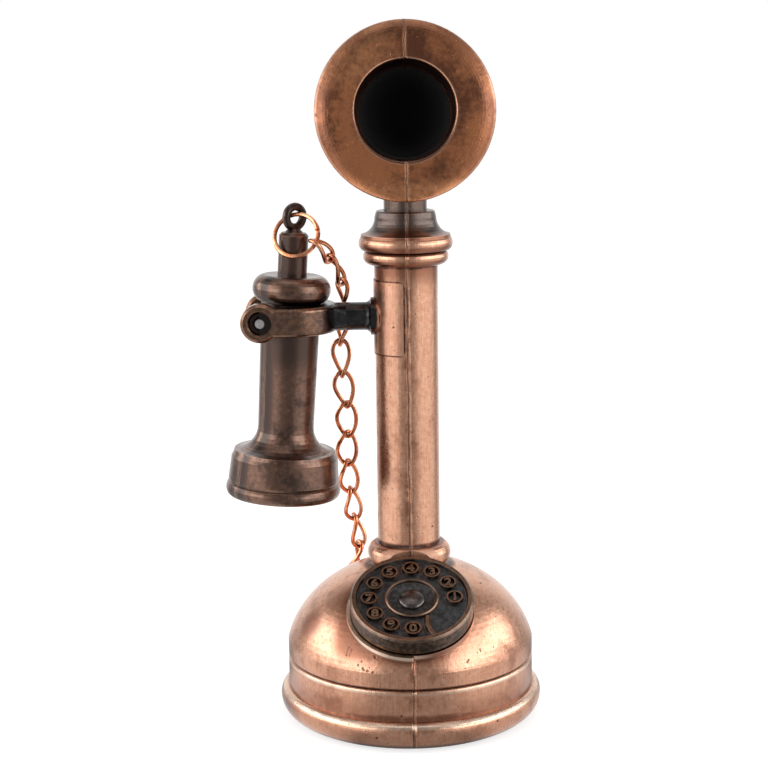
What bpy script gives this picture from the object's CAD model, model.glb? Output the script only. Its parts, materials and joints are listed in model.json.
import json
import math
from functools import reduce

import bmesh
import bpy
from mathutils import Matrix, Vector


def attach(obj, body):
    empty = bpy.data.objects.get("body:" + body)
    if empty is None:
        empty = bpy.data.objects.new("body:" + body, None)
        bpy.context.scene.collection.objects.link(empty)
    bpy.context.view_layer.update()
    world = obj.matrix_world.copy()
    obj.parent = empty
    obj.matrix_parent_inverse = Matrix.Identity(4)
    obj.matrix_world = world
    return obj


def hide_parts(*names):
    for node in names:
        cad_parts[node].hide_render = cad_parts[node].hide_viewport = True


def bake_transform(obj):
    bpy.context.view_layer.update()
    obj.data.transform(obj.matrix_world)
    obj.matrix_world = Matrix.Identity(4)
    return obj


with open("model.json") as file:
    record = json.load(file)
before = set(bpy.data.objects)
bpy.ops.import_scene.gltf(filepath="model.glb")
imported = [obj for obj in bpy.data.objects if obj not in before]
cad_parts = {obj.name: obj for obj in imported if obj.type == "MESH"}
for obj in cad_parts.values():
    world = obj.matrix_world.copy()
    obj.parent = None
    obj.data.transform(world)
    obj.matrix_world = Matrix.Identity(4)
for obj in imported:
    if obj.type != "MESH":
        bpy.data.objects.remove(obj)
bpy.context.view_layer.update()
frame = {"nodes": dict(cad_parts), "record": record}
nodes = frame["nodes"]

# ------------------------------------------------------------------ camera
YAW, PITCH, ROLL = 0.0093713, 0.1844048, -0.0140149
EYE = Vector((-0.005619, -0.244647, 0.094000))
F_PX, SIDE = 1738.373, 768

fwd = Vector((math.sin(YAW) * math.cos(PITCH), math.cos(YAW) * math.cos(PITCH), -math.sin(PITCH)))
right = Vector((math.cos(YAW), -math.sin(YAW), 0))
up = right.cross(fwd)
right, up = (right * math.cos(ROLL) + up * math.sin(ROLL),
             up * math.cos(ROLL) - right * math.sin(ROLL))
cam_data = bpy.data.cameras.new("camera")
cam_data.sensor_width = 36
cam_data.lens = 36 * F_PX / SIDE
cam_data.clip_start, cam_data.clip_end = 0.005, 20
cam = bpy.data.objects.new("camera", cam_data)
cam.matrix_world = Matrix((
    (right.x, up.x, -fwd.x, EYE.x), (right.y, up.y, -fwd.y, EYE.y),
    (right.z, up.z, -fwd.z, EYE.z), (0, 0, 0, 1)))
bpy.context.scene.collection.objects.link(cam)
bpy.context.scene.camera = cam


# ------------------------------------------------------------------ node helper
class Graph:
    """A material's node tree, built from short calls. Positions are in millimetres."""

    def __init__(self, name):
        self.mat = bpy.data.materials.new(name)
        self.mat.use_nodes = True
        self.tree = self.mat.node_tree
        self.tree.nodes.clear()
        self.out = self.tree.nodes.new("ShaderNodeOutputMaterial")
        self.bsdf = self.tree.nodes.new("ShaderNodeBsdfPrincipled")
        self.tree.links.new(self.bsdf.outputs[0], self.out.inputs[0])
        tc = self.tree.nodes.new("ShaderNodeTexCoord")
        self.p = self.vec("SCALE", tc.outputs["Object"], scale=1000)
        sep = self.tree.nodes.new("ShaderNodeSeparateXYZ")
        self.put(sep.inputs[0], self.p)
        self.x, self.y, self.z = sep.outputs

    def put(self, socket, value):
        """Link value to socket, or set it there."""
        if isinstance(value, bpy.types.NodeSocket):
            self.tree.links.new(value, socket)
        elif value is not None:
            socket.default_value = value

    def vec(self, op, a, b=None, scale=None):
        """A vector math node."""
        n = self.tree.nodes.new("ShaderNodeVectorMath")
        n.operation = op
        self.put(n.inputs[0], a)
        self.put(n.inputs[1], b)
        if scale is not None:
            n.inputs["Scale"].default_value = scale
        return n.outputs[1] if op in ("LENGTH", "DOT_PRODUCT", "DISTANCE") else n.outputs[0]

    def m(self, op, a, b=None, clamp=False):
        """A math node."""
        n = self.tree.nodes.new("ShaderNodeMath")
        n.operation, n.use_clamp = op, clamp
        self.put(n.inputs[0], a)
        self.put(n.inputs[1], b)
        return n.outputs[0]

    def less(self, v):
        """1 - v"""
        return self.m("SUBTRACT", 1, v)

    def rng(self, v, a, b, c=0.0, d=1.0):
        """v taken smoothly from the range a to b into the range c to d."""
        n = self.tree.nodes.new("ShaderNodeMapRange")
        n.interpolation_type = "SMOOTHSTEP"
        for i, s in enumerate((v, a, b, c, d)):
            self.put(n.inputs[i], s)
        return n.outputs[0]

    def noise(self, scale, detail=3.0, rough=0.55, stretch=None):
        """Cloudy noise, stretched where stretch is below 1 on an axis."""
        n = self.tree.nodes.new("ShaderNodeTexNoise")
        self.put(n.inputs["Vector"], self.vec("MULTIPLY", self.p, stretch) if stretch else self.p)
        n.inputs["Scale"].default_value = scale
        n.inputs["Detail"].default_value = detail
        n.inputs["Roughness"].default_value = rough
        return n.outputs[0]

    def cells(self, scale):
        """Round cells: distance from the middle of the nearest one, and its own random colour."""
        n = self.tree.nodes.new("ShaderNodeTexVoronoi")
        self.put(n.inputs["Vector"], self.p)
        n.inputs["Scale"].default_value = scale
        return n.outputs["Distance"], n.outputs["Color"]

    def mix(self, fac, a, b, kind="RGBA"):
        """a where fac is 0, b where it is 1."""
        n = self.tree.nodes.new("ShaderNodeMix")
        n.data_type, n.clamp_factor = kind, True
        first, second, result = {"RGBA": (6, 7, 2), "FLOAT": (2, 3, 0)}[kind]
        self.put(n.inputs[0], fac)
        self.put(n.inputs[first], a)
        self.put(n.inputs[second], b)
        return n.outputs[result]

    def mul(self, *values):
        """Product of all values."""
        return reduce(lambda v, w: self.m("MULTIPLY", v, w), values)

    def most(self, *values):
        """Largest of all values."""
        return reduce(lambda v, w: self.m("MAXIMUM", v, w), values)

    def off(self, v, at):
        """How far v is from at, either way."""
        return self.m("ABSOLUTE", self.m("SUBTRACT", v, at))

    def line(self, v, at, half):
        """1 on a line where v is at, falling to 0 at half away."""
        return self.rng(self.off(v, at), 0.0, half, 1.0, 0.0)

    def occlusion(self, dist_mm):
        """1 in the open, less where other surfaces stand within the distance."""
        n = self.tree.nodes.new("ShaderNodeAmbientOcclusion")
        n.samples = 6
        n.inputs["Distance"].default_value = dist_mm / 1000
        return n.outputs["AO"]

    def worn_edge(self, radius_mm):
        """1 on convex edges and in tight corners, from how far a rounded normal turns."""
        n = self.tree.nodes.new("ShaderNodeBevel")
        n.samples = 4
        n.inputs["Radius"].default_value = radius_mm / 1000
        g = self.tree.nodes.new("ShaderNodeNewGeometry")
        d = self.vec("DOT_PRODUCT", n.outputs[0], g.outputs["True Normal"])
        return self.rng(d, 0.985, 0.90)

    def bump(self, height, dist_mm):
        """A normal bumped by height times the distance."""
        n = self.tree.nodes.new("ShaderNodeBump")
        n.inputs["Strength"].default_value = 1.0
        n.inputs["Distance"].default_value = dist_mm / 1000
        self.put(n.inputs["Height"], height)
        return n.outputs[0]

    def finish(self, color, rough, normal, metallic=1.0, **sockets):
        """Set the shader's sockets, other ones by name, and return the material."""
        b = self.bsdf.inputs
        self.put(b["Base Color"], color)
        self.put(b["Roughness"], rough)
        self.put(b["Metallic"], metallic)
        self.put(b["Normal"], normal)
        for k, v in sockets.items():
            b[k.replace("_", " ")].default_value = v
        return self.mat


def srgb(*levels):
    """A shader colour from 0 to 255 levels of red, green and blue."""
    shares = [v / 255 for v in levels]
    linear = [c / 12.92 if c <= 0.04045 else ((c + 0.055) / 1.055) ** 2.4 for c in shares]
    return (*linear, 1)


# ------------------------------------------------------------------ materials
COPPER = srgb(214, 150, 118)
COPPER_PALE = srgb(240, 190, 160)
IVORY = srgb(250, 222, 198)
BROWN = srgb(150, 98, 74)
DARK = srgb(62, 42, 36)
NICKEL = srgb(80, 76, 73)

# levels and places that the finish follows, in millimetres, from the frame where it has them
JOINT = {j["name"]: j for j in frame["record"]["behaviour"]["joints"]}
DIAL_AT = Vector(JOINT["dial_turn"]["pos_m"])
DIAL_AXIS = Vector(JOINT["dial_turn"]["axis"])
DIAL_MM = DIAL_AT * 1000
DIAL_R = 8.6
GROOVE_Z, FOOT_TOP_Z = 8.7, 4.2
BEAD_LOW_Z, BEAD_TOP_Z = 21.9, 25.2
COLLAR_Z, HEAD_Z, ARM_Z, STOP_Z = 65.6, 87.15, 58.25, 60.31
FORK_OUT, FORK_END = 16.35, 4.15
REC_TURN, REC_LEAN = 50, 3.7
SADDLE_H = 10.6
# [x, z, length, width, lean] of the short grooves on the front of the dome
SCRATCHES = ((-9.0, 13.4, 1.4, 0.22, 22), (-8.6, 13.3, 1.1, 0.16, 24), (7.6, 12.2, 0.6, 0.3, 40),
             (-6.9, 11.5, 0.5, 0.4, -30), (-7.6, 11.9, 0.35, 0.3, 10), (-6.3, 11.3, 0.4, 0.3, 50),
             (-5.6, 11.2, 0.35, 0.35, -60), (-7.1, 12.4, 0.3, 0.25, 0), (9.4, 13.2, 0.5, 0.22, -20))


def pits(g, cell_mm, share, size):
    """Round pits: share of the cells that hold one, and its size in cells."""
    dist, color = g.cells(1 / cell_mm)
    parts = g.tree.nodes.new("ShaderNodeSeparateColor")
    g.put(parts.inputs[0], color)
    some = g.rng(parts.outputs["Red"], 1 - share, 1 - share + 0.03)
    return g.mul(g.rng(dist, size * 0.45, size, 1.0, 0.0), some)


def cast_height(g):
    """Height of a plated die casting: orange peel, fine grain and pits. Also the pits alone."""
    peel = g.noise(0.9, 4, 0.6)
    fine = g.noise(7.0, 3, 0.6)
    holes = g.most(pits(g, 1.7, 0.14, 0.16), g.mul(pits(g, 0.6, 0.16, 0.24), 0.7))
    h = g.m("ADD", g.mul(peel, 1.1), g.mul(fine, 0.20))
    return g.m("SUBTRACT", h, g.mul(holes, 0.9)), holes


def around(g, axis_xy=(0, 0)):
    """Distance from a vertical axis, in millimetres."""
    dx = g.m("SUBTRACT", g.x, axis_xy[0])
    dy = g.m("SUBTRACT", g.y, axis_xy[1])
    return g.m("SQRT", g.m("ADD", g.mul(dx, dx), g.mul(dy, dy)))


def scratch(g, x, z, length, width, lean_deg):
    """A short groove on the front of the casting, at [x, z], leaning from the vertical."""
    a = math.radians(lean_deg)
    dx, dz = g.m("SUBTRACT", g.x, x), g.m("SUBTRACT", g.z, z)
    along = g.m("ADD", g.mul(dx, math.sin(a)), g.mul(dz, math.cos(a)))
    across = g.m("SUBTRACT", g.mul(dx, math.cos(a)), g.mul(dz, math.sin(a)))
    near = g.rng(g.m("ABSOLUTE", along), length * 0.35, length * 0.5, 1.0, 0.0)
    narrow = g.rng(g.m("ABSOLUTE", across), width * 0.2, width * 0.5, 1.0, 0.0)
    return g.mul(narrow, near, g.rng(g.y, 0.0, -1.0))


def patina(g, dirt, clean, brown, dark):
    """Clean metal, browned where dirt passes a little, dark where there is much."""
    c = g.mix(g.rng(dirt, 0.0, 0.55), clean, brown)
    return g.mix(g.rng(dirt, 0.50, 1.0), c, dark)


def buffed(g, grain, mottle):
    """Bright copper, paler in the grain of the buffing."""
    both = g.m("ADD", g.mul(grain, 0.5), g.mul(mottle, 0.5))
    return g.mix(g.rng(both, 0.36, 0.66), COPPER, COPPER_PALE)


def body_material():
    """Buffed copper casting, brown and black where the buffing missed."""
    g = Graph("antique_copper")
    x, z = g.x, g.z
    h, holes = cast_height(g)
    r = around(g)
    # soot in the hollows, less of it in the notch that the dial makes in the bead
    notch = g.mul(g.rng(z, 20.5, 21.5), g.rng(z, 26.0, 25.6), g.rng(g.y, -4.0, -4.6))
    low = g.mul(g.rng(g.occlusion(1.5), 0.82, 0.35), g.less(g.mul(notch, 0.95)))
    clouds = g.m("ADD", g.mul(g.noise(0.13, 4, 0.6), 0.6), g.mul(g.noise(0.5, 5, 0.65), 0.4))
    cloud = g.rng(clouds, 0.48, 0.68)
    mottle = g.noise(1.6, 5, 0.7)
    brush = g.noise(1.0, 4, 0.7, stretch=(6.0, 6.0, 0.25))
    ragged = g.rng(g.noise(0.9, 2), 0.25, 0.6, 0.6, 1.0)
    # black left in the creases by the buffing
    frontal = g.rng(g.m("ABSOLUTE", x), 14.0, 4.0, 0.35, 1.0)
    creases = g.mul(ragged, g.most(
        g.line(z, GROOVE_Z + 0.1, 0.32),
        g.mul(g.line(z, FOOT_TOP_Z + 0.35, 1.1), g.rng(frontal, 0.35, 1.0, 0.4, 0.62),
              g.rng(r, 18.1, 17.95)),
        g.mul(g.line(z, BEAD_LOW_Z, 0.5), g.rng(r, 7.4, 6.2), g.less(notch)),
        g.mul(g.line(z, BEAD_TOP_Z + 0.2, 0.6), g.rng(r, 5.5, 5.0)),
        g.line(z, COLLAR_Z - 0.15, 0.5), g.mul(g.line(z, COLLAR_Z + 2.1, 0.4), 0.7)))
    # edges beside those creases, rubbed to a pale line
    pale = g.mul(g.rng(g.noise(0.6, 3), 0.3, 0.6, 0.5, 0.95), g.most(
        g.mul(g.line(z, GROOVE_Z - 0.5, 0.36), g.rng(g.m("ABSOLUTE", x), 2.0, 10.0, 0.5, 1.0)),
        g.mul(g.line(z, FOOT_TOP_Z - 0.4, 0.55), g.rng(r, 17.75, 18.0))))
    # the collar's cup and the neck were never buffed: dark nickel shows there
    neck = g.mul(g.rng(r, 3.8, 3.4), g.rng(z, HEAD_Z - 7.9, HEAD_Z - 8.5))
    cup = g.mul(g.rng(r, 7.6, 7.0), g.rng(z, COLLAR_Z + 8.1, COLLAR_Z + 7.7))
    cup = g.mul(g.most(neck, cup), g.rng(z, COLLAR_Z + 4.1, COLLAR_Z + 4.9))
    # face of the mouthpiece: browner, and black inside the mouth
    dz = g.m("SUBTRACT", z, HEAD_Z)
    hr = g.m("SQRT", g.m("ADD", g.mul(x, x), g.mul(dz, dz)))
    streak = g.noise(0.17, 5, 0.55, stretch=(1.0, 1.0, 0.7))
    wiped = g.rng(g.m("ADD", g.mul(streak, 0.75), g.mul(mottle, 0.25)), 0.42, 0.60)
    # hands wiped the face most at its upper left and along its foot
    handled = g.most(g.mul(g.rng(x, 0.5, -4.5), g.rng(dz, 1.5, 6.5)), g.rng(dz, -8.5, -10.5))
    grain = g.rng(g.m("ADD", g.mul(g.noise(0.5, 5, 0.65), 0.5), g.mul(mottle, 0.5)), 0.38, 0.60, 0.35, 1.0)
    wiped = g.m("ADD", wiped, g.mul(handled, 0.8, g.m("SUBTRACT", grain, wiped)))
    front = g.mul(g.rng(g.y, -3.6, -4.6), g.rng(z, HEAD_Z - 13, HEAD_Z - 12.6))
    face = g.mul(front, g.rng(hr, 12.35, 11.9), g.rng(hr, 6.95, 7.35))
    mouth = g.mul(g.rng(hr, 7.15, 6.9), g.rng(g.y, 4.2, 3.6), g.rng(z, HEAD_Z - 8, HEAD_Z - 7.5),
                  g.rng(streak, 0.35, 0.6, 0.35, 0.9))
    # lip of the dial's seat, wiped bright on one side, and soot round the dial, most of it below
    dd = around(g, (0, DIAL_MM.y - 0.8))
    over = g.vec("DOT_PRODUCT", g.vec("SUBTRACT", g.p, tuple(DIAL_MM)), tuple(DIAL_AXIS))
    out = g.vec("DISTANCE", g.p, tuple(DIAL_MM))
    lip = g.mul(g.rng(over, -3.4, -3.1), g.rng(over, -2.4, -2.6), g.rng(x, 4.0, -1.0),
                g.rng(out, DIAL_R + 0.3, DIAL_R + 0.7))
    seat = g.mul(g.rng(dd, 12.6, 9.2), g.rng(z, 11.0, 14.0), g.rng(z, 21.5, 20.0),
                 g.rng(x, 2.0, 8.0, 1.0, 0.3))
    side = g.mul(g.rng(x, -3.0, -9.0), g.rng(dd, 14.5, 10.0), g.rng(z, 14.0, 17.0), g.rng(z, 24.0, 21.5))
    # parting line of the two halves: a dark nick with a bright flash beside it
    drift = g.mul(g.m("SUBTRACT", g.noise(0.35, 2), 0.5), 0.25)
    at = g.m("ADD", x, drift)
    firm = g.rng(g.noise(0.20, 3, stretch=(0.0, 0.3, 1.0)), 0.34, 0.56, 0.35, 1.0)
    ends = g.rng(g.y, 1.0, 0.0, 0.5, 1.0)
    seam = g.mul(g.rng(g.m("ABSOLUTE", at), 0.06, 0.20, 1.0, 0.0), firm, ends)
    flash = g.mul(g.rng(g.off(at, 0.28), 0.02, 0.13, 1.0, 0.0), firm, ends)
    halo = g.mul(g.rng(g.m("ABSOLUTE", at), 0.2, 1.3, 1.0, 0.0),
                 g.rng(g.noise(0.5, 4, 0.6), 0.42, 0.62), ends)
    marks = g.most(*[scratch(g, *s) for s in SCRATCHES])
    # the upright walls of the base were buffed less than the dome and the column
    walls = g.mul(g.rng(z, 11.6, 10.8), g.rng(z, 4.1, 4.4), g.rng(r, 16.0, 17.0),
                  g.m("ADD", g.rng(z, 8.2, 5.0, 0.18, 0.36), g.mul(cloud, 0.22)))
    walls = g.mul(walls, g.rng(g.m("ABSOLUTE", x), 3.0, 9.0, 0.3, 1.0))
    # the foot was handled more than buffed, and least at its left end
    foot = g.mul(g.rng(z, FOOT_TOP_Z - 0.5, FOOT_TOP_Z - 1.2),
                 g.m("ADD", g.mul(cloud, 0.22), g.rng(x, -15.5, -18.8, 0.26, 0.75)))
    foot = g.mul(foot, g.rng(g.m("ABSOLUTE", x), 3.0, 9.0, 0.3, 1.0))
    # only the crests of the collar's rings were buffed
    crests = g.most(g.line(z, COLLAR_Z + 1.3, 0.8), g.line(z, COLLAR_Z + 3.3, 0.9))
    collar = g.mul(g.rng(z, COLLAR_Z - 5, COLLAR_Z + 0.3), g.rng(z, COLLAR_Z + 8, COLLAR_Z + 7.6),
                   g.rng(crests, 0, 1, 0.50, 0.12))
    blotch = g.rng(g.vec("DISTANCE", g.p, (-15.5, -7.5, 16.0)), 4.5, 1.5, 0.0, 0.5)
    shoulder = g.rng(g.vec("DISTANCE", g.p, (-10.5, -9.0, 20.5)), 7.5, 2.5, 0.0, 0.3)
    dirt = g.most(g.mul(low, 0.85), shoulder, g.mul(cloud, 0.38), walls, foot, collar, blotch, creases,
                  g.mul(holes, 0.75), g.mul(seam, 0.95), mouth, g.mul(marks, 0.5),
                  g.mul(seat, 0.62), g.mul(side, 0.42), g.mul(halo, 0.42))
    dirt = g.mul(dirt, g.less(g.mul(lip, 0.9)))
    edge = g.m("SUBTRACT", g.worn_edge(0.22), g.mul(low, 2.0), clamp=True)
    c = patina(g, dirt, buffed(g, brush, mottle), BROWN, DARK)
    c = g.mix(g.mul(cup, g.m("ADD", 0.86, g.mul(cloud, 0.12))), c, NICKEL)
    umber = g.mix(wiped, srgb(124, 74, 50), srgb(210, 134, 88))
    umber = g.mix(g.mul(handled, grain, 0.55), umber, srgb(250, 176, 124))
    umber = g.mix(g.mul(g.rng(hr, 9.2, 11.4, 0.0, 0.55), g.rng(dz, -10.5, -7.0, 0.1, 1.0)), umber, srgb(98, 60, 44))
    umber = g.mix(g.mul(g.most(seam, g.mul(low, 0.8), g.mul(holes, 0.7)), 0.9), umber, DARK)
    c = g.mix(g.mul(face, 0.96), c, umber)
    rubbed = g.most(g.mul(edge, 0.5), g.mul(flash, g.rng(z, 60, 74, 0.4, 0.2)))
    c = g.mix(rubbed, c, COPPER_PALE)
    c = g.mix(g.most(pale, lip), c, IVORY)
    rough = g.m("ADD", g.m("ADD", 0.20, g.mul(mottle, 0.15)),
                g.m("ADD", g.mul(dirt, 0.14), g.mul(notch, 0.3)))
    h = g.m("SUBTRACT", h, g.m("ADD", g.mul(seam, 3.5), g.mul(marks, 3.0)))
    h = g.m("ADD", h, g.mul(flash, g.rng(z, 60, 74, 0.8, 0.4)))
    return g.finish(c, rough, g.bump(h, 0.045), g.less(g.mul(notch, 0.6)),
                    Coat_Weight=0.4, Coat_Roughness=0.2)


def receiver_material():
    """The same copper left dark."""
    g = Graph("antique_copper_dark")
    h, holes = cast_height(g)
    low = g.rng(g.occlusion(1.5), 0.82, 0.35)
    cloud = g.rng(g.noise(0.35, 5, 0.65), 0.45, 0.66)
    mottle = g.noise(1.6, 5, 0.7)
    # the parting line lies on a plane through the receiver's own axis
    a, lean = math.radians(REC_TURN), math.radians(REC_LEAN)
    off_axis = g.m("SUBTRACT", g.m("SUBTRACT", g.x, -FORK_OUT),
                   g.mul(g.m("SUBTRACT", g.z, STOP_Z), math.tan(lean)))
    across = g.m("SUBTRACT", g.mul(off_axis, math.cos(a)), g.mul(g.y, math.sin(a)))
    firm = g.rng(g.noise(0.3, 3), 0.34, 0.56, 0.45, 1.0)
    seam = g.mul(g.rng(g.m("ABSOLUTE", across), 0.08, 0.26, 1.0, 0.0), firm)
    flash = g.mul(g.rng(g.off(across, -0.55), 0.1, 0.5, 1.0, 0.0), firm)
    shade = g.mul(g.rng(across, 0.0, 0.2), g.rng(across, 2.2, 0.6))
    under_fork = g.mul(g.rng(g.z, STOP_Z + 0.4, STOP_Z - 1.5), g.rng(g.z, STOP_Z - 12, STOP_Z - 6))
    post = g.rng(g.z, STOP_Z + 3.6, STOP_Z + 4.2)
    dirt = g.most(g.mul(low, 0.95), g.mul(cloud, 0.55), g.mul(holes, 0.6), seam, g.mul(shade, 0.74),
                  g.mul(under_fork, 0.55), g.mul(post, 0.45))
    edge = g.m("SUBTRACT", g.worn_edge(0.3), g.mul(low, 2.0), clamp=True)
    clean = g.mix(g.rng(mottle, 0.36, 0.66), srgb(108, 80, 67), srgb(132, 98, 80))
    c = patina(g, dirt, clean, srgb(80, 59, 50), srgb(36, 31, 29))
    c = g.mix(g.mul(flash, 0.5), c, srgb(150, 115, 98))
    c = g.mix(g.mul(edge, 0.5), c, srgb(186, 138, 110))
    rough = g.m("ADD", g.m("ADD", 0.24, g.mul(mottle, 0.14)), g.mul(dirt, 0.10))
    h = g.m("SUBTRACT", h, g.mul(seam, 3.5))
    return g.finish(c, rough, g.bump(h, 0.035), Coat_Weight=0.6, Coat_Roughness=0.18)


def hook_material():
    """Black arm; the plate let into the column is copper, and the fork is rubbed brown."""
    g = Graph("black_hook")
    h, holes = cast_height(g)
    low = g.rng(g.occlusion(1.5), 0.82, 0.35)
    mottle = g.noise(1.6, 5, 0.7)
    wander = g.mul(g.m("SUBTRACT", g.noise(1.2, 3), 0.5), 0.5)
    plate = g.rng(g.m("ADD", around(g), wander), 5.1, 4.85)
    edge = g.m("SUBTRACT", g.worn_edge(0.4), g.mul(low, 1.5), clamp=True)
    fork = g.rng(g.m("ADD", g.x, g.mul(wander, 3.0)), -10.8, -13.0)
    rub = g.mul(fork, g.m("ADD", g.mul(edge, 0.75), g.rng(mottle, 0.35, 0.65, 0.25, 0.55)))
    black = g.mix(g.rng(g.noise(0.8, 4), 0.4, 0.7), srgb(46, 46, 48), srgb(70, 68, 68))
    # the dish in the disc's end: black, with a bare button in its middle
    dx, dz = g.m("SUBTRACT", g.x, -FORK_OUT - FORK_END), g.m("SUBTRACT", g.z, ARM_Z)
    rd = g.m("SQRT", g.m("ADD", g.mul(dx, dx), g.mul(dz, dz)))
    dish = g.mul(g.rng(rd, 1.75, 1.5), g.rng(rd, 0.5, 0.7))
    button = g.rng(rd, 0.72, 0.56)
    c = g.mix(rub, black, srgb(176, 128, 98))
    c = g.mix(g.mul(low, fork), c, srgb(34, 30, 30))
    c = g.mix(g.mul(dish, 0.9), c, srgb(24, 22, 23))
    c = g.mix(button, c, srgb(214, 212, 210))
    grain = g.noise(1.0, 4, 0.7, stretch=(6.0, 6.0, 0.25))
    copper = buffed(g, grain, mottle)
    high = g.off(g.z, ARM_Z)
    root = g.mul(g.rng(g.x, -4.0, -4.5), g.rng(high, 5.5, 3.0))
    # dark line of the joint round the plate, seen where the plate ends
    rim = g.mul(g.most(g.rng(high, SADDLE_H / 2 - 0.28, SADDLE_H / 2 - 0.08), g.rng(g.x, -0.62, -0.42)),
                g.rng(g.noise(1.0, 3), 0.3, 0.6, 0.35, 0.9))
    dirt = g.most(g.mul(low, 0.8), g.mul(holes, 0.7), g.mul(root, 0.8), rim)
    copper = patina(g, dirt, copper, BROWN, DARK)
    c = g.mix(plate, c, copper)
    rough = g.mix(plate, g.m("ADD", 0.20, g.mul(mottle, 0.12)), g.m("ADD", 0.25, g.mul(mottle, 0.16)),
                  "FLOAT")
    return g.finish(c, rough, g.bump(h, 0.03), Coat_Weight=0.35, Coat_Roughness=0.2)


def dial_material():
    """Bluish black field, with bronze on what stands over it."""
    g = Graph("dial_bronze")
    h = cast_height(g)[0]
    ao = g.occlusion(0.9)
    edge = g.m("SUBTRACT", g.worn_edge(0.16), g.mul(g.rng(ao, 0.7, 0.3), 1.2), clamp=True)
    mottle = g.noise(1.3, 4, 0.65)
    c = g.mix(g.rng(mottle, 0.36, 0.66), srgb(60, 65, 69), srgb(90, 95, 98))
    # height over the sunk field, so that the raised rings and rim are bronze on top
    over = g.vec("DOT_PRODUCT", g.vec("SUBTRACT", g.p, tuple(DIAL_MM)), tuple(DIAL_AXIS))
    raised = g.rng(over, -0.30, -0.12)
    c = g.mix(g.mul(raised, g.rng(mottle, 0.35, 0.6, 0.45, 0.9)), c, srgb(138, 108, 86))
    side = g.rng(g.vec("DISTANCE", g.p, tuple(DIAL_MM)), DIAL_R - 0.15, DIAL_R)
    c = g.mix(g.mul(side, g.rng(over, -0.15, -0.4)), c,
              g.mix(g.rng(mottle, 0.4, 0.6), srgb(60, 48, 40), srgb(104, 82, 68)))
    c = g.mix(g.rng(ao, 0.80, 0.30), c, srgb(26, 22, 20))
    c = g.mix(g.mul(edge, 0.85), c, srgb(188, 144, 112))
    rough = g.m("ADD", 0.24, g.mul(mottle, 0.16))
    return g.finish(c, rough, g.bump(h, 0.02), Coat_Weight=0.15, Coat_Roughness=0.2)


def hub_material():
    g = Graph("dial_rivet_bronze")
    h = cast_height(g)[0]
    ao = g.occlusion(0.9)
    c = g.mix(g.rng(g.noise(1.3, 4, 0.65), 0.36, 0.66), srgb(78, 72, 70), srgb(108, 98, 94))
    c = g.mix(g.rng(ao, 0.80, 0.30), c, srgb(30, 25, 23))
    return g.finish(c, 0.26, g.bump(h, 0.02), Coat_Weight=0.3, Coat_Roughness=0.2)


def numeral_material():
    g = Graph("numeral_bronze")
    c = g.mix(g.rng(g.noise(3.0, 4), 0.35, 0.7), srgb(112, 90, 76), srgb(150, 120, 98))
    return g.finish(c, 0.34, g.bump(g.noise(6.0, 3), 0.012))


def chain_material():
    g = Graph("chain_copper")
    ao = g.occlusion(0.6)
    dirt = g.most(g.rng(ao, 0.8, 0.3), g.mul(g.rng(g.noise(1.6, 4, 0.65), 0.5, 0.72), 0.6))
    c = g.mix(g.rng(g.noise(0.7, 2), 0.35, 0.65), srgb(234, 148, 106), srgb(250, 180, 138))
    c = g.mix(dirt, c, srgb(140, 70, 46))
    return g.finish(c, g.m("ADD", 0.20, g.mul(dirt, 0.15)), g.bump(g.noise(7.0, 3), 0.008))


def liner_material():
    g = Graph("black_liner")
    c = g.mix(g.rng(g.noise(0.6, 3), 0.4, 0.7), srgb(4, 4, 5), srgb(9, 9, 10))
    # smooth near its open end, dull in its depth
    rough = g.rng(g.y, -5.5, -1.0, 0.32, 0.95)
    return g.finish(c, rough, g.bump(g.noise(1.5, 3), 0.02), metallic=0.0, Specular_IOR_Level=0.4)


def steel_material():
    g = Graph("rivet_steel")
    c = g.mix(g.rng(g.noise(2.0, 4), 0.4, 0.7), srgb(150, 146, 142), srgb(190, 186, 180))
    return g.finish(c, 0.35, g.bump(g.noise(4.0, 3), 0.01))


MATS = {
    "body": body_material(), "receiver": receiver_material(), "hook": hook_material(),
    "dial": dial_material(), "hub": hub_material(), "numeral": numeral_material(),
    "chain": chain_material(), "liner": liner_material(), "steel": steel_material(),
}
FINISH = {
    "body_left": "body", "body_right": "body", "receiver_front": "receiver", "receiver_rear": "receiver",
    "hook_arm": "hook", "dial": "dial", "dial_rivet": "hub", "mouth_funnel": "liner",
    "base_rivet_front": "steel", "base_rivet_rear": "steel", "jump_ring": "chain",
}
for node, finish in FINISH.items():
    slots = nodes[node].data.materials
    slots.clear()
    slots.append(MATS[finish])


# ------------------------------------------------------------------ chain
def smooth(obj):
    """Smooth shading on every face."""
    obj.data.polygons.foreach_set("use_smooth", [True] * len(obj.data.polygons))


def link_piece(node):
    """The link's own CAD mesh as a piece by itself, smoothly shaded, so that it can bend."""
    me = nodes[node].data.copy()
    bm = bmesh.new()
    bm.from_mesh(me)
    bmesh.ops.remove_doubles(bm, verts=bm.verts, dist=2e-6)
    bmesh.ops.join_triangles(bm, faces=bm.faces, angle_face_threshold=0.7, angle_shape_threshold=1.0)
    bm.to_mesh(me)
    bm.free()
    o = bpy.data.objects.new("chain_" + node, me)
    bpy.context.scene.collection.objects.link(o)
    me.materials.clear()
    me.materials.append(MATS["chain"])
    smooth(o)
    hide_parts(node)
    return o


# the first link goes with the ring, the second bends between ring and receiver,
# and the rest stretch between the receiver and the stand
for i in range(1, 13):
    piece = link_piece("link_%02d" % i)
    if i == 1:
        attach(piece, "ring")
    elif i == 2:
        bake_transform(piece)
    else:
        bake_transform(piece)


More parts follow.
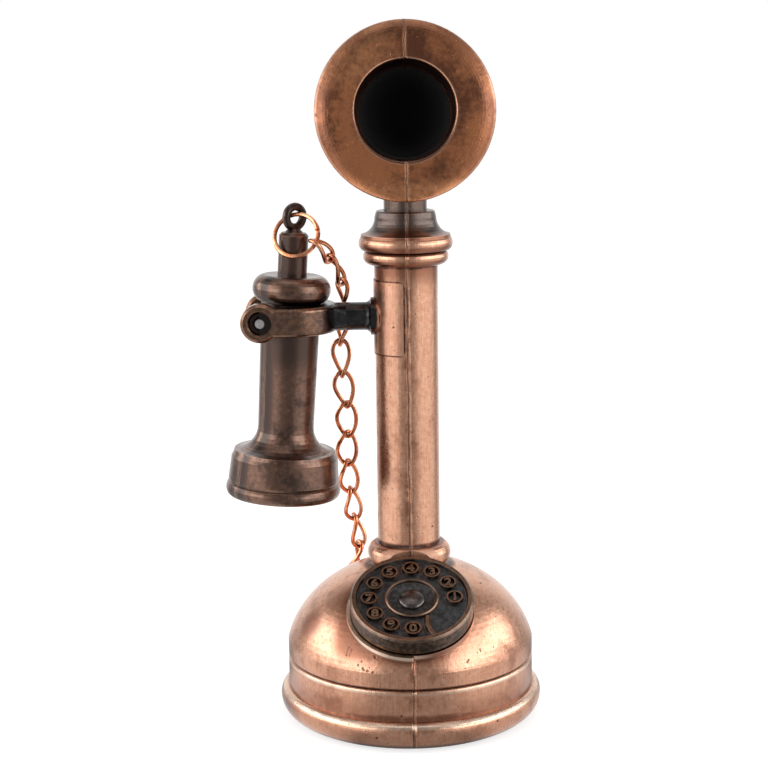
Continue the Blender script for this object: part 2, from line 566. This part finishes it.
# ------------------------------------------------------------------ dial numerals
DIAL_TURN = Matrix.Rotation(math.acos(DIAL_AXIS.z), 4, "X")
FINGER_PCR = 0.00595
FIGURE_AT_Z = -0.00024
FIGURE_SIZE, FIGURE_EXTRUDE, FIGURE_BEVEL, FIGURE_OFFSET = 0.00205, 0.00016, 0.00006, 0.00002


def numerals():
    """The ten figures, raised inside their rings, 1 to 0 the way round from the right."""
    parts = []
    for i, ch in enumerate("1234567890"):
        cu = bpy.data.curves.new("figure", "FONT")
        cu.body = ch
        cu.align_x, cu.align_y = "CENTER", "CENTER"
        cu.size, cu.extrude, cu.offset = FIGURE_SIZE, FIGURE_EXTRUDE, FIGURE_OFFSET
        cu.bevel_depth, cu.bevel_resolution = FIGURE_BEVEL, 2
        ob = bpy.data.objects.new("figure", cu)
        bpy.context.scene.collection.objects.link(ob)
        a = math.radians(30 * i)
        at = Vector((FINGER_PCR * math.cos(a), FINGER_PCR * math.sin(a), FIGURE_AT_Z))
        ob.matrix_world = Matrix.Translation(DIAL_AT) @ DIAL_TURN @ Matrix.Translation(at)
        bpy.context.view_layer.update()
        solid = ob.evaluated_get(bpy.context.evaluated_depsgraph_get())
        me = bpy.data.meshes.new_from_object(solid)
        me.transform(ob.matrix_world)
        parts.append(me)
        bpy.data.objects.remove(ob)
    bm = bmesh.new()
    for me in parts:
        bm.from_mesh(me)
    bmesh.ops.remove_doubles(bm, verts=bm.verts, dist=1e-7)
    me = bpy.data.meshes.new("dial_figures")
    bm.to_mesh(me)
    bm.free()
    o = bpy.data.objects.new("dial_figures", me)
    bpy.context.scene.collection.objects.link(o)
    me.materials.append(MATS["numeral"])
    smooth(o)
    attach(o, "dial")


numerals()

# ------------------------------------------------------------------ stage and light
# The room as the metal mirrors it: dim towards the camera and overhead, white behind the object
# and bright to both sides. Each side: azimuth in degrees from the camera's side (-Y) towards +X,
# and level. The lamps point at the height AIM_Z over the middle of the stage.
ROOM, BACK, OVERHEAD = 0.30, 1.0, 0.5
SIDES = ((-74, 1.02), (72, 0.90))
AIM_Z = 0.045
CAMERA_GLOW, FLOOR_LEVEL = 0.69, 0.6


def math_node(tree, op, *values):
    """A math node in any tree."""
    n = tree.nodes.new("ShaderNodeMath")
    n.operation = op
    for socket, value in zip(n.inputs, values):
        if isinstance(value, bpy.types.NodeSocket):
            tree.links.new(value, socket)
        else:
            socket.default_value = value
    return n.outputs[0]


def ramp(tree, value, a, b, low, high):
    """value taken smoothly from the range a to b into the range low to high."""
    n = tree.nodes.new("ShaderNodeMapRange")
    n.interpolation_type = "SMOOTHSTEP"
    tree.links.new(value, n.inputs["Value"])
    for socket, v in zip(("From Min", "From Max", "To Min", "To Max"), (a, b, low, high)):
        n.inputs[socket].default_value = v
    return n.outputs[0]


def room_level(tree, way):
    """Brightness of the room in the direction way, from the middle of the stage."""
    flat = tree.nodes.new("ShaderNodeVectorMath")
    flat.operation = "MULTIPLY"
    flat.inputs[1].default_value = (1, 1, 0)
    tree.links.new(way, flat.inputs[0])
    unit = tree.nodes.new("ShaderNodeVectorMath")
    unit.operation = "NORMALIZE"
    tree.links.new(flat.outputs[0], unit.inputs[0])
    split = tree.nodes.new("ShaderNodeSeparateXYZ")
    tree.links.new(unit.outputs[0], split.inputs[0])
    level = ramp(tree, split.outputs["Y"], 0.6, 0.95, ROOM, BACK)
    for azimuth, bright in SIDES:
        a = math.radians(azimuth)
        near = tree.nodes.new("ShaderNodeVectorMath")
        near.operation = "DOT_PRODUCT"
        near.inputs[1].default_value = (math.sin(a), -math.cos(a), 0)
        tree.links.new(unit.outputs[0], near.inputs[0])
        side = ramp(tree, near.outputs["Value"], 0.52, 0.94, 0, bright)
        level = math_node(tree, "MAXIMUM", level, side)
    return level


def floor_material():
    """White floor. The camera sees part of it as its own glow, so that its shadows stay soft,
    and the metal mirrors the room's level in it."""
    m = bpy.data.materials.new("floor")
    m.use_nodes = True
    t = m.node_tree
    b = t.nodes["Principled BSDF"]
    b.inputs["Roughness"].default_value = 0.9
    b.inputs["Specular IOR Level"].default_value = 0.1
    b.inputs["Emission Color"].default_value = (1, 1, 1, 1)
    path = t.nodes.new("ShaderNodeLightPath")
    place = t.nodes.new("ShaderNodeTexCoord")
    room = room_level(t, place.outputs["Object"])
    mirrored = math_node(t, "MULTIPLY", path.outputs["Is Glossy Ray"], room)
    seen = math_node(t, "MULTIPLY", path.outputs["Is Camera Ray"], CAMERA_GLOW)
    t.links.new(math_node(t, "ADD", mirrored, seen), b.inputs["Emission Strength"])
    dull = math_node(t, "SUBTRACT", 1, math_node(t, "MULTIPLY", path.outputs["Is Glossy Ray"], 0.9))
    t.links.new(math_node(t, "MULTIPLY", dull, FLOOR_LEVEL), b.inputs["Base Color"])
    return m


bpy.ops.mesh.primitive_plane_add(size=12, location=(0, 0, -0.00002))
floor = bpy.context.object
floor.name = "floor"
floor.data.materials.append(floor_material())

world = bpy.data.worlds.new("studio")
bpy.context.scene.world = world
world.use_nodes = True
wt = world.node_tree
way = wt.nodes.new("ShaderNodeTexCoord")
height = wt.nodes.new("ShaderNodeSeparateXYZ")
wt.links.new(way.outputs["Generated"], height.inputs[0])
level = math_node(wt, "MULTIPLY", room_level(wt, way.outputs["Generated"]),
                  ramp(wt, height.outputs["Z"], 0.5, 0.9, 1, OVERHEAD))
camera_ray = wt.nodes.new("ShaderNodeLightPath").outputs["Is Camera Ray"]
wt.nodes["Background"].inputs["Color"].default_value = (1, 1, 1, 1)
wt.links.new(math_node(wt, "MAXIMUM", level, camera_ray), wt.nodes["Background"].inputs["Strength"])


def softbox(name, azimuth, height, distance, width, tall, power):
    """A rectangular lamp; azimuth is in degrees from the camera's side (-Y) towards +X."""
    d = bpy.data.lights.new(name, "AREA")
    d.shape = "RECTANGLE"
    d.size, d.size_y = width, tall
    d.energy = power
    o = bpy.data.objects.new(name, d)
    a = math.radians(azimuth)
    at = Vector((distance * math.sin(a), -distance * math.cos(a), height))
    o.location = at
    o.rotation_mode = "QUATERNION"
    o.rotation_quaternion = (Vector((0, 0, AIM_Z)) - at).to_track_quat("-Z", "Y")
    bpy.context.scene.collection.objects.link(o)


softbox("key_left", -80, 0.19, 0.42, 0.76, 0.20, 0.98)
softbox("key_right", 78, 0.19, 0.42, 0.74, 0.20, 0.94)
softbox("top", 0, 0.50, 0.10, 0.30, 0.30, 0.20)

bpy.context.scene.view_settings.view_transform = "Standard"
